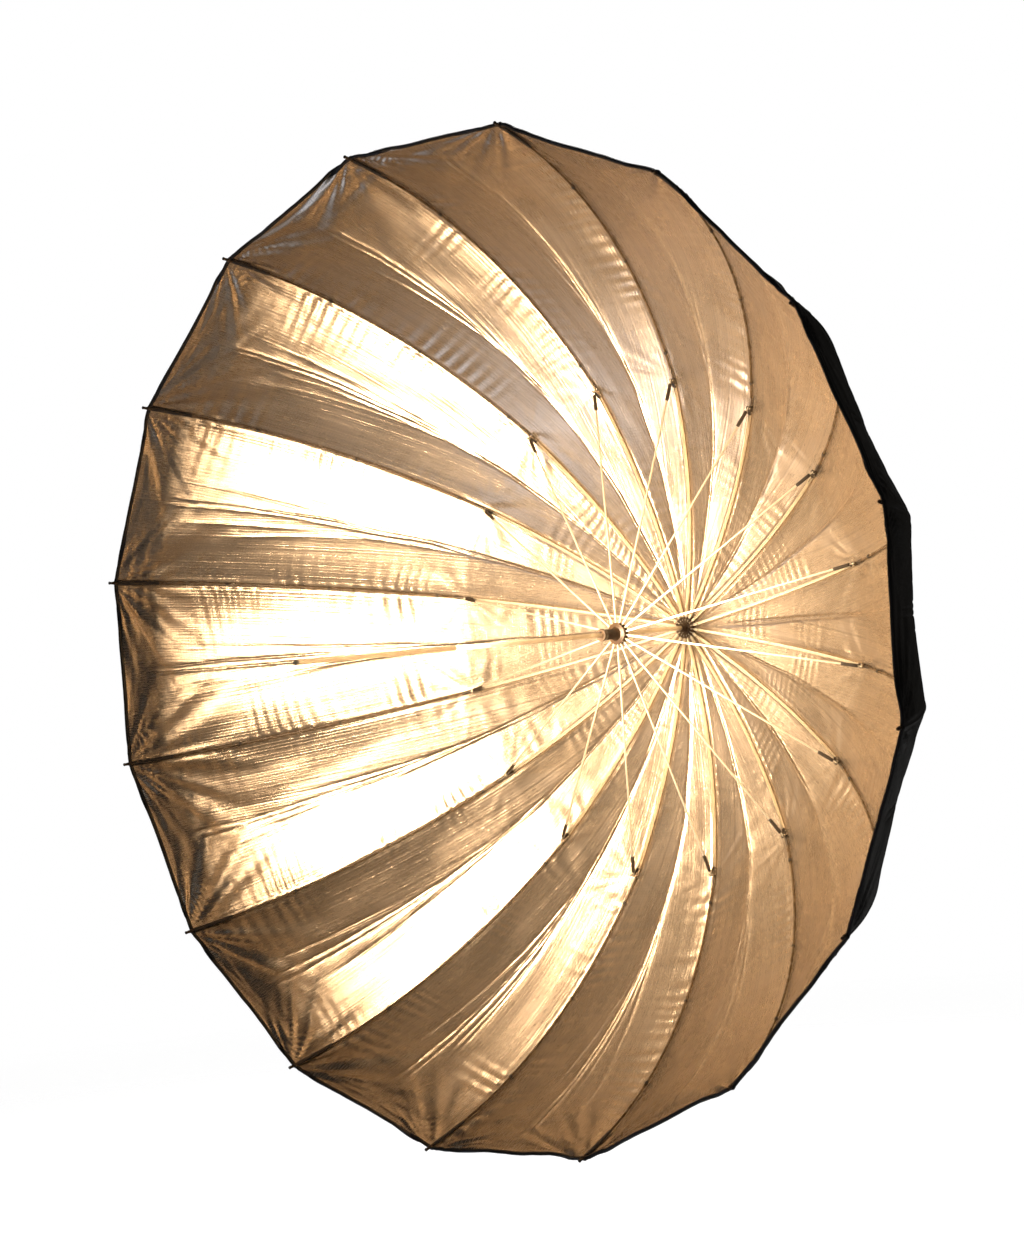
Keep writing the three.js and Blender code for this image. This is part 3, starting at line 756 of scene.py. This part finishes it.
def strip(name, left, right, rows, materials):
    """The cloth that one rib carries, from gore's middle to gore's middle, as a closed shell."""
    h = HALF_COLUMNS

    def halves(k, start=1):
        return left[k][rows][:, h:], right[k][rows][:, start : h + 1]

    pts = np.concatenate(halves(0), axis=1)
    n_left, n_right = halves(1, 0)
    seam = n_left[:, -1:] + n_right[:, :1]
    seam /= np.linalg.norm(seam, axis=-1, keepdims=True)
    nrm = np.concatenate([n_left[:, :-1], seam, n_right[:, 1:]], axis=1)
    length = np.concatenate(halves(2), axis=1)
    (s_left, s_right), (w_left, w_right) = halves(3), halves(4)
    reach = np.concatenate([-(1 - s_left) * w_left, s_right * w_right], axis=1)
    into_hem = (length - (CLOTH_LENGTH - HEM_WIDTH)) / HEM_WIDTH
    doubled = smooth(into_hem, -0.08, 0.08) * (HEM_THICKNESS - CLOTH_THICKNESS)
    rolled = BEAD * np.sqrt(np.clip(1 - ((into_hem - 0.58) / 0.425) ** 2, 0, 1))
    lining = pts - nrm * np.maximum(0.3 * doubled, rolled)[..., None]
    back = pts + nrm * np.maximum(CLOTH_THICKNESS + 0.7 * doubled, rolled)[..., None]
    nr, nc = pts.shape[:2]
    count = nr * nc
    verts = np.concatenate([lining.reshape(-1, 3), back.reshape(-1, 3)])
    grid = np.arange(count).reshape(nr, nc)
    a, b = grid[:-1, :-1].ravel(), grid[:-1, 1:].ravel()
    c, d = grid[1:, 1:].ravel(), grid[1:, :-1].ravel()
    inner = np.stack([a, b, c, d], axis=1)
    outer = np.stack([a, d, c, b], axis=1) + count
    edges = (
        (grid[:-1, 0], grid[1:, 0]),
        (grid[1:, -1], grid[:-1, -1]),
        (grid[0, 1:], grid[0, :-1]),
        (grid[-1, :-1], grid[-1, 1:]),
    )
    walls = np.concatenate([np.stack([p, q, q + count, p + count], axis=1) for p, q in edges])
    faces = np.concatenate([inner, outer, walls])
    # the inner faces look towards the shaft
    first = verts[inner[0]]
    look = np.cross(first[1] - first[0], first[2] - first[0])
    if look @ nrm[0, 0] > 0:
        faces = faces[:, ::-1]
    mesh = new_mesh(name, verts, faces.tolist(), materials)
    cell_length = (length[:-1, :-1] + length[1:, 1:]) / 2
    hem = (cell_length.ravel() > CLOTH_LENGTH - HEM_WIDTH).astype(int)
    index = np.concatenate([hem, np.ones(len(outer) + len(walls), int)])
    mesh.polygons.foreach_set("material_index", index)
    loops = np.empty(len(mesh.loops), int)
    mesh.loops.foreach_get("vertex_index", loops)
    layer = mesh.uv_layers.new(name="cloth")
    coords = np.stack([length.ravel(), reach.ravel()], axis=1)
    coords = np.concatenate([coords, coords])[loops]
    layer.data.foreach_set("uv", coords.ravel())
    mesh.shade_smooth()
    # normals come from the whole gore, so that the divisions between strips don't show
    full = nrm.reshape(-1, 3)
    corner = np.concatenate([-full, full])[loops]
    row, column = np.divmod(loops % count, nc)
    face_of = np.repeat(np.arange(len(faces)), 4)
    cells = len(inner)
    cell_column = face_of % cells % (nc - 1)
    on_seam = (column == h) & (face_of < 2 * cells)
    sign = np.where(face_of < cells, -1.0, 1.0)[:, None]
    for side, normals in ((cell_column < h, n_left[row, -1]), (cell_column >= h, n_right[row, 0])):
        here = on_seam & side
        corner[here] = (sign * normals)[here]
    wall_loops = face_of >= 2 * cells
    flat_normals = np.empty(len(mesh.polygons) * 3)
    mesh.polygons.foreach_get("normal", flat_normals)
    corner[wall_loops] = flat_normals.reshape(-1, 3)[face_of[wall_loops]]
    mesh.normals_split_custom_set(corner.tolist())
    mesh.update()
    return link(name, mesh)


def canopy(lining, backing):
    gores = [gore_grid(g) for g in range(RIBS)]
    centre_rows = slice(0, ROWS_CENTRE + 1)
    inner_rows = slice(ROWS_CENTRE, ROWS_INNER + 1)
    outer_rows = slice(ROWS_INNER, ROWS_INNER + ROWS_OUTER + ROWS_HEM + 1)
    for i in range(RIBS):
        neighbours = gores[(i - 1) % RIBS], gores[i]
        for part, rows, body, keep in (
            ("crown", centre_rows, "rib_" + number(i), 0.56),
            ("middle", inner_rows, "rib_" + number(i), 0.34),
            ("skirt", outer_rows, "rib_rod_" + number(i), 0.205),
        ):
            name = "canopy_%s_%s" % (part, number(i))
            piece = strip(name, *neighbours, rows, [lining, backing])
            carry(piece, body, "canopy")
            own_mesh(piece)


# ---- ribs, rods and stretchers ----

CHANNEL_WIDTH, CHANNEL_HEIGHT, CHANNEL_WALL = 0.0040, 0.0045, 0.0007
TONGUE_REACH = 0.0065
EYE_RADIUS = 0.0026
WIRE_RADIUS = 0.00075
ROD_RADIUS = 0.0020
# length of the black cloth cover at the rod's end, drawn long as painted shade on the rod
POCKET_AND_SHADE_LENGTH = 0.085


def eye(build, centre, radius, hole, thickness):
    """A flattened end with its hole, as a ring round the across direction."""
    half, chamfer = thickness / 2, thickness * 0.18
    low = [(hole, chamfer - half), (hole + chamfer, -half), (radius - chamfer, -half)]
    low.append((radius, chamfer - half))
    build.turned(mirrored(low) + low[:1], flat3(centre), ACROSS, 24)


def rivet(build, centre, radius, reach):
    """A rivet along the across direction with a domed head at each end."""
    top = reach + 0.75 * radius
    head = [(0.0, -top)]
    for k in range(1, 5):
        t = math.radians(90 * k / 4)
        head.append((1.7 * radius * math.sin(t), -reach - 0.75 * radius * math.cos(t)))
    head.append((radius, -reach))
    build.turned(mirrored(head), flat3(centre), ACROSS, 16)


def channel_rib(i, steel, dark):
    """The bent channel from the hub to the elbow, with its eye, rivets and bracket."""
    b = Build()
    length = arc_length(CHANNEL_ARC)
    s0, s1 = TONGUE_REACH / length, 1 - 0.0016 / length
    w, h, t = CHANNEL_WIDTH / 2, CHANNEL_HEIGHT / 2, CHANNEL_WALL
    r = 0.0009
    corner = [math.radians(a) for a in (90, 60, 30, 0)]
    right = [(w - r + r * math.cos(a), h - r + r * math.sin(a)) for a in corner]
    inside = [(w - t, -h), (w - t, h - t - 0.0004), (w - t - 0.0004, h - t)]
    section = right + [(w, -h)] + inside
    section += [(-x, y) for x, y in reversed(section)]
    b.along(on_arc(CHANNEL_ARC, np.linspace(s0, s1, 44)), section)
    # the flattened end that hinges on the hub's wire
    b.along(
        on_arc(CHANNEL_ARC, np.linspace(0.0042 / length, s0 + 0.007 / length, 6)),
        rounded(0.0018, 0.0032, 0.0005),
    )
    eye(b, HUB, EYE_RADIUS, WIRE_RADIUS + 0.0003, 0.0018)
    b.along(
        on_arc(CHANNEL_ARC, np.linspace(s0, s0 + 0.006 / length, 4)),
        rounded(CHANNEL_WIDTH - 0.0001, CHANNEL_HEIGHT - 0.0002, 0.0008),
    )
    for place in (0.012, 0.40 * length, length - 0.034):
        rivet(b, on_arc(CHANNEL_ARC, place / length), 0.0006, w + 0.0002)
    # the bracket: a folded clip round the channel, with two ears for the stretcher
    span = CHANNEL_WIDTH + 0.0018
    shell = rounded(span, CHANNEL_HEIGHT + 0.0013, 0.0009)
    clip = on_arc(CHANNEL_ARC, np.linspace(1 - 0.016 / length, s1, 5))
    b.along(clip, [(x, y - 0.00035) for x, y in shell], 1)
    for side in (-1, 1):
        ear(b, side * (span - 0.0009) / 2, length)
    rivet(b, ELBOW, 0.0008, span / 2)
    rivet(b, on_arc(CHANNEL_ARC, 1 - 0.0115 / length), 0.0007, span / 2)
    body = "rib_" + number(i)
    piece = b.make("rib_steel", [steel, dark], i)
    carry(piece, body, body)


def ear(build, across, length):
    """One ear of the bracket, round the stretcher's pivot."""
    top = on_arc(CHANNEL_ARC, 1 - 0.0155 / length)
    near = on_arc(CHANNEL_ARC, 1 - 0.0035 / length)
    away = math.atan2(*(ELBOW - (top + near) / 2)[::-1])
    turns = [away + math.radians(25 * k - 100) for k in range(9)]
    outline = [ELBOW + EYE_RADIUS * np.array([math.cos(t), math.sin(t)]) for t in turns]
    outline = [top, *outline, near]
    n = len(outline)
    verts = [flat3(p, side) for side in (across - 0.00045, across + 0.00045) for p in outline]
    faces = [tuple(reversed(range(n))), tuple(range(n, 2 * n))]
    faces += [(k, (k + 1) % n, n + (k + 1) % n, n + k) for k in range(n)]
    build.add(verts, faces, 1)


def outer_rod(i, glass, thread, ferrule):
    """The tapering rod and its ferrule, the thread ties, and a black cloth cover over its end, drawn
    long as painted shade on the rod near the tip.
    """
    body = "rib_rod_" + number(i)
    b = Build()
    length = arc_length(ROD_ARC)
    share = np.linspace(0.0016 / length, 1 - 0.002 / length, 60)
    b.along(on_arc(ROD_ARC, share), circle(ROD_RADIUS, 12), 0, 1.0 - 0.15 * share)
    collar = on_arc(ROD_ARC, np.linspace(0.0012, 0.020, 6) / length)
    b.along(collar, circle(0.00255, 16), 1, [0.9, 1, 1, 1, 1, 0.86])
    piece = b.make("rod_glass", [glass, ferrule], i)
    carry(piece, body, body)
    ties = Build()
    for place, turns in ((0.052, 5), (0.25, 3), (length - 0.212, 5)):
        for k in range(turns):
            share = (place + (k - turns / 2) * 0.0011) / length
            here, there = on_arc(ROD_ARC, share), on_arc(ROD_ARC, share + 0.001)
            ties.torus(flat3(here), flat3(there - here), 0.0024, 0.00055, 14, 6)
    carry(ties.make("tie", [thread], i, angle=60), body)
    # black cloth, sewn to the canopy's corner; partly real cloth, partly painted shade: drawn long so
    # that it darkens the rod where it lies in shade towards the tip
    p = POCKET_AND_SHADE_LENGTH
    back_from_tip = np.array([p, p - 0.002, 0.6 * p, 0.35 * p, 0.012, 0.006])
    sock = on_arc(ROD_ARC, 1 - back_from_tip / length)
    pocket = Build().along(sock, rounded(0.0066, 0.0050, 0.0022, 5), 0, [0.80, 0.86, 1, 1.02, 1, 0.9])
    carry(pocket.make("pocket", [thread], i), body)


def tip_cup(i, plastic):
    """The moulded cup on the rod's end: a collar, a cone and a ball end."""
    b = Build()
    direction = RIM - on_arc(ROD_ARC, 0.995)
    direction = direction / np.hypot(*direction)
    start = flat3(RIM - 0.008 * direction)
    profile = mm(
        (0, 0), (2.5, 0), (3, 0.4), (3, 2.6), (2.375, 3), (2.375, 6.8), (3.25, 7.4), (3.375, 9.4),
        (2.75, 10.2), (2.375, 16.5), (2.75, 17.6), (2.875, 18.6), (2.25, 19.6), (1.125, 20), (0, 20),
    )
    b.turned(profile, start, flat3(direction), 20)
    piece = b.make("tip", [plastic], i)
    carry(piece, "rib_rod_" + number(i))


def stretcher(i, steel, rubber):
    """The folded strip with a flattened eye at each end, and the sleeve on its outer end."""
    body = "stretcher_" + number(i)
    line = SLIDE - ELBOW
    total = np.hypot(*line)
    line = line / total

    def at(*marks):
        return [ELBOW + line * d for d in marks]

    b = Build()
    b.along(at(0.0022, 0.006, 0.009), rounded(0.0018, 0.0026, 0.0005))
    b.along([SLIDE - line * d for d in (0.0085, 0.006, 0.0022)], rounded(0.0018, 0.0032, 0.0005))
    section = mm(
        (1.6, -0.9), (1.6, 0.9), (1.1, 1.4), (-1.1, 1.4), (-1.6, 0.9), (-1.6, -0.9), (-1.1, -1.4),
        (-0.6, -1.4), (-0.4, -0.4), (0.4, -0.4), (0.6, -1.4), (1.1, -1.4),
    )
    b.along(at(*np.linspace(TONGUE_REACH, total - TONGUE_REACH, 12)), section)
    eye(b, ELBOW, EYE_RADIUS - 0.0004, 0.0011, 0.0018)
    eye(b, SLIDE, EYE_RADIUS, WIRE_RADIUS + 0.0003, 0.0018)
    piece = b.make("stay_steel", [steel], i)
    carry(piece, body, body)
    sleeve = at(0.0065, 0.0074, 0.013, 0.022, 0.032, 0.0352, 0.0360)
    scale = [0.84, 1, 1, 1, 1, 0.97, 0.80]
    tube = Build().along(sleeve, rounded(0.0054, 0.0054, 0.0018, 4), 0, scale)
    carry(tube.make("sleeve", [rubber], i), body)


# ---- hub, runner, shaft ----

R = 18.5  # the hub's and the runner's crowns, in millimetres, as their profiles are
BOX_FACES = [(0, 1, 3, 2), (4, 6, 7, 5), (0, 4, 5, 1), (2, 3, 7, 6), (0, 2, 6, 4), (1, 5, 7, 3)]


def apply_modifiers(obj):
    bpy.context.view_layer.update()
    graph = bpy.context.evaluated_depsgraph_get()
    done = bpy.data.meshes.new_from_object(obj.evaluated_get(graph))
    obj.modifiers.clear()
    obj.data = done


def cut(obj, tool):
    """obj with the tool's solid taken away."""
    m = obj.modifiers.new("cut", "BOOLEAN")
    m.operation, m.solver, m.object = "DIFFERENCE", "EXACT", tool
    apply_modifiers(obj)
    bpy.data.objects.remove(tool)


def slot_cutter(centre_y, towards):
    """Sixteen slots in which the arms swing, open outwards and towards the slotted face."""
    b = Build()
    for i in range(RIBS):
        e, t = radial(i), tangent(i)
        corners = [
            e * r + t * across + Y * (centre_y + y * towards)
            for across in (-0.00125, 0.00125)
            for r in (0.0108, 0.022)
            for y in (-0.0032, 0.006)
        ]
        b.add(corners, BOX_FACES)
    return b.make("slots", [])


def slotted(name, profile, y, towards, plastic, body):
    """A turned plastic piece with sixteen slots and softened edges, in place of a CAD node."""
    piece = Build().turned(profile, Y * y, Y, 96).make(name + "_body", [plastic])
    cut(piece, slot_cutter(y, towards))
    m = piece.modifiers.new("edges", "BEVEL")
    m.width, m.segments, m.limit_method, m.angle_limit = 0.0002, 2, "ANGLE", math.radians(40)
    m.harden_normals = False
    apply_modifiers(piece)
    shade(piece.data, 30)
    carry(piece, body, name)


def ring_wire(name, pivots, steel, body):
    """The wire ring on which the sixteen arms hinge."""
    ring = Build().torus(Y * pivots[1], Y, pivots[0], WIRE_RADIUS, 96, 10)
    carry(ring.make(name + "_ring", [steel]), body, name + "_wire")


def hub(plastic, steel):
    """The hub: a slotted crown and a pinned neck, with a raised bead round each edge."""
    profile = mm(
        (4.3, 6.9), (17.5, 6.9), (R, 6), (R, 4), (R - 0.8, 3.4), (R - 0.8, -2.2), (R, -2.7),
        (R, -3.6), (R - 0.6, -4), (9.2, -4), (8, -5), (8, -11), (7.4, -12), (7.4, -13.5), (6.8, -14),
        (4.3, -14), (4.3, 6.9),
    )
    slotted("hub", profile, HUB[1], -1, plastic, "frame")
    ring_wire("hub", HUB, steel, "frame")
    head = mm((0, -8.3), (1, -8.3), (1.9, -7.9), (2.1, -7.5), (1.2, -7.5))
    turned_piece("hub_rivet", mirrored(head), steel, "hub_pin", 20, Y * (HUB[1] - 0.009), Z)


def runner(plastic, steel):
    """The runner: a slotted crown on a long grip with ribs round it and a flange at its end."""
    profile = mm(
        (4.4, 4), (R - 0.6, 4), (R, 3.4), (R, 2.2), (R - 0.8, 1.7), (R - 0.8, -3.5), (R, -4),
        (R, -6.2), (R - 1.2, -6.9), (11.8, -8.5), (9.5, -11.9), (9, -14),
    )
    for k in range(7):
        profile += mm((9, 0), (8.4, -0.6), (8.4, -1.4), (9, -2), up=-0.0160 - 0.0032 * k)
    profile += mm((9, -39), (10.5, -43), (10.5, -47.4), (9.9, -48), (4.4, -48), (4.4, 4))
    slotted("runner", profile, SLIDE[1], 1, plastic, "runner")
    ring_wire("runner", SLIDE, steel, "runner")


def turned_piece(name, profile, material, cad, sides=64, centre=ORIGIN, axis=Y):
    """A solid of revolution that stays with the shaft, in place of a CAD node."""
    piece = Build().turned(profile, centre, axis, sides).make(name, [material])
    carry(piece, "frame", cad)


def reach_along(node):
    """Where a CAD node starts and ends along the shaft."""
    low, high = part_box(node)
    return low[1], high[1]


def shaft_tube(steel):
    """The tube, with the window for its catch."""
    end, top = reach_along("shaft")
    outer, bore = SHAFT_RADIUS, SHAFT_RADIUS - 0.0008
    profile = [(bore, end + 0.0002), (bore + 0.0002, end), (outer - 0.0003, end)]
    profile += [(outer, end + 0.0003), (outer, top), (bore, top), profile[0]]
    tube = Build().turned(profile, ORIGIN, Y, 64).make("shaft_tube", [steel])
    low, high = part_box("catch_spring")
    w = (high[0] - low[0]) / 2 + 0.00045
    ends = (high[1] - 0.0143, high[1] + 0.0009)
    corners = [(x, y, z) for x in (-w, w) for y in ends for z in (0.001, 0.008)]
    cut(tube, Build().add(corners, BOX_FACES).make("window", []))
    shade(tube.data, 30)
    carry(tube, "frame", "shaft")


def catch(tube, spring):
    """The catch, a bent strip whose nose stands through the window, and its rivet."""
    low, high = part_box("catch_spring")
    tail, nose, out = low[1], high[1], high[2]
    base = low[2] + 0.00035
    points = [
        (base, tail), (base, nose - 0.013), (base + 0.0008, nose - 0.0105),
        (out - 0.0006, nose - 0.0032), (out - 0.0002, nose - 0.0022), (out - 0.0004, nose - 0.0009),
        (base + 0.0020, nose - 0.0004), (base, nose - 0.0004),
    ]
    path = np.array([[0.0, y, z] for z, y in points])
    frames = [(X, np.array([0.0, -s[2], s[1]])) for s in directions(path)]
    leaf = Build().sweep(path, frames, rounded(0.0028, 0.0007, 0.0002, 2))
    carry(leaf.make("catch_leaf", [spring]), "catch_spring", "catch_spring")
    low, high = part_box("catch_rivet")
    profile = mm((0, 0), (1.2, 0), (1.2, 0.6), (0.8, 0.6), up=low[2])
    profile += mm((0.8, -0.7), (1.6, -0.7), (1.6, -0.2), (1.3, 0), (0, 0), up=high[2])
    centre = Y * (low[1] + high[1]) / 2
    turned_piece("catch_stud", profile, tube, "catch_rivet", 24, centre, Z)


def shaft(tube, plastic, ivory, spring):
    """The tube, the plug in its free end, the catch, and the washer and cap at the crown."""
    shaft_tube(tube)
    profile = mm((0, 0), (2.9, 0), (3.6, 0.3), (4, 1), (4, 4.6), (2.9, 4.7), (2.9, 19), (0, 19))
    turned_piece("end_plug", profile, ivory, "shaft_end_plug", 48)
    catch(tube, spring)
    y0, y1 = reach_along("canopy_washer")
    profile = mm((4.3, 0), (15.6, 0), (16, 0.4), up=y0) + mm((16, -0.5), (15.2, 0), (4.3, 0), up=y1)
    profile.append(profile[0])
    turned_piece("crown_washer", profile, plastic, "canopy_washer")
    y0, y1 = reach_along("end_cap")
    profile = mm(
        (0, 10), (4.3, 10), (4.3, 0), (12.4, 0), (13, 0.5), (13, 4), (12.2, 4.4), (12.2, 5),
        (12.8, 5.4), up=y0,
    )
    dome, turn = y1 - y0 - 0.0054, 0.36 * math.pi
    for k in range(1, 9):
        t = k / 8 * turn
        height = y0 + 0.0054 + dome * math.sin(t) / math.sin(turn)
        profile.append((0.0128 * math.cos(t), height))
    profile.append((0.0, y1))
    turned_piece("crown_cap", profile, plastic, "end_cap")


# ---- putting it together ----

lining = lining_material()
backing = backing_material()
steel = metal_material(
    "bright_plated_steel", (0.72, 0.66, 0.52), (0.84, 0.78, 0.63), 0.36, (300, 60, 300), 0.25, 0.55
)
tube = metal_material(
    "shaft_steel", (0.66, 0.58, 0.45), (0.80, 0.72, 0.58), 0.26, (1500, 12, 1500), 0.2, 0.75
)
spring = metal_material(
    "spring_steel", (0.36, 0.36, 0.38), (0.55, 0.54, 0.53), 0.25, (900, 20, 900)
)
dark = metal_material(
    "blackened_steel", (0.10, 0.085, 0.07), (0.20, 0.17, 0.14), 0.34, (500, 500, 500)
)
# painted reflection: the brown in these tones stands in for warm light reflected from the lining onto
# the black rods
glass = plastic_material(
    "black_fibreglass", (0.085, 0.055, 0.028), (0.18, 0.12, 0.065), 0.20, 3.0, (900, 60, 900)
)
plastic, ivory, rubber = [
    plastic_material(name, dark_tone, light_tone, rough, grain)
    for name, dark_tone, light_tone, rough, grain in (
        # painted warm light: the brown in black_plastic's tones stands in for strong warm light on
        # black plastic
        ("black_plastic", (0.040, 0.024, 0.012), (0.085, 0.052, 0.029), 0.34, 1600.0),
        ("ivory_plastic", (0.60, 0.50, 0.34), (0.74, 0.64, 0.46), 0.34, 1600.0),
        ("black_sleeve", (0.026, 0.018, 0.011), (0.052, 0.036, 0.022), 0.48, 1100.0),
    )
]
thread = thread_material()

canopy(lining, backing)
for i in range(RIBS):
    channel_rib(i, steel, dark)
    outer_rod(i, glass, thread, dark)
    tip_cup(i, plastic)
    stretcher(i, steel, rubber)
hub(plastic, steel)
runner(plastic, steel)
shaft(tube, plastic, ivory, spring)

# ---- floor, light and camera ----

FLOOR_Z = -1.42


def floor():
    """A pale floor that fades into the backdrop."""
    n = Nodes("pale_floor")
    away = n.node("ShaderNodeVectorMath", operation="LENGTH")
    n.put(away.inputs[0], n.space())
    seen = n.node("ShaderNodeLightPath").outputs["Is Camera Ray"]
    n.finish(
        Base_Color=(0.86, 0.855, 0.85), Roughness=0.7, Emission_Color=(1, 1, 1),
        Emission_Strength=n.times(seen, 0.80),
    )
    clear = n.tree.nodes.new("ShaderNodeBsdfTransparent")
    blend = n.tree.nodes.new("ShaderNodeMixShader")
    n.put(blend.inputs[0], n.range(away.outputs["Value"], 2.2, 6.5, 0.0, 1.0))
    n.put(blend.inputs[1], n.shader.outputs[0])
    n.put(blend.inputs[2], clear.outputs[0])
    n.put(n.tree.nodes["Material Output"].inputs[0], blend.outputs[0])
    size = 14.0
    corners = [(-size, -size, 0), (size, -size, 0), (size, size, 0), (-size, size, 0)]
    obj = link("floor", new_mesh("floor", corners, [(0, 1, 2, 3)], [n.material]))
    obj.location = (0, 0.5, FLOOR_Z)


def world():
    """Plain pale backdrop for the camera; a dimmer, soft surround lights the object."""
    w = bpy.data.worlds.new("studio")
    w.use_nodes = True
    bpy.context.scene.world = w
    tree = w.node_tree
    back = tree.nodes["Background"]
    seen = tree.nodes.new("ShaderNodeBackground")
    for node, color, strength in ((back, (0.85, 0.76, 0.66, 1), 0.032), (seen, (1, 1, 1, 1), 1.0)):
        node.inputs[0].default_value, node.inputs[1].default_value = color, strength
    path = tree.nodes.new("ShaderNodeLightPath")
    mixer = tree.nodes.new("ShaderNodeMixShader")
    tree.links.new(path.outputs["Is Camera Ray"], mixer.inputs[0])
    tree.links.new(back.outputs[0], mixer.inputs[1])
    tree.links.new(seen.outputs[0], mixer.inputs[2])
    tree.links.new(mixer.outputs[0], tree.nodes["World Output"].inputs[0])


def area(name, place, target, size, energy, color, spread=180):
    light = bpy.data.lights.new(name, "AREA")
    light.shape, light.size, light.energy, light.color = "DISK", size, energy, color
    light.spread = math.radians(spread)
    obj = link(name, light)
    obj.location = place
    obj.rotation_mode = "QUATERNION"
    obj.rotation_quaternion = (Vector(target) - Vector(place)).to_track_quat("-Z", "Y")


floor()
world()
CENTRE = (0.0, 0.7, 0.0)
for name, place, size, energy, color in (
    ("soft_front", (2.2, -4.0, 2.6), 3.0, 6, (0.90, 0.95, 1.0)),
    ("soft_left", (-3.6, -1.4, 1.2), 2.4, 5, (1.0, 0.88, 0.76)),
    ("soft_back", (-2.8, 4.0, 3.0), 2.6, 110, (1, 1, 1)),
    ("soft_low", (-1.2, -0.4, -1.3), 1.3, 7, (0.62, 0.74, 1.0)),
):
    area(name, place, CENTRE, size, energy, color)
# the reflector is made to be lit from its shaft: a warm lamp inside the bowl, turned towards the crown
area("bowl_light", (-0.018, 0.365, 0.012), (-0.018, 1.0, 0.012), 0.128, 16.5, (1.0, 0.735, 0.47), 168)

SENSOR_WIDTH = 36.0  # stands for the picture's long side
FOCAL_PIXELS, PICTURE_PIXELS = 2940, 1258
CAMERA_PLACE = Vector((3.100, -3.143, 0.032))
CAMERA_AIM = Vector((-0.64727, 0.76226, -0.00188))
CAMERA_UP = Vector((0.06097, 0.05423, 0.99667))
camera = bpy.data.cameras.new("camera")
camera.sensor_width = SENSOR_WIDTH
camera.lens = SENSOR_WIDTH * FOCAL_PIXELS / PICTURE_PIXELS
camera_object = link("camera", camera)
right = CAMERA_AIM.cross(CAMERA_UP).normalized()
turn = Matrix((right, CAMERA_UP, -CAMERA_AIM)).transposed()
camera_object.matrix_world = Matrix.Translation(CAMERA_PLACE) @ turn.to_4x4()
bpy.context.scene.camera = camera_object
bpy.context.scene.view_settings.view_transform = "Standard"
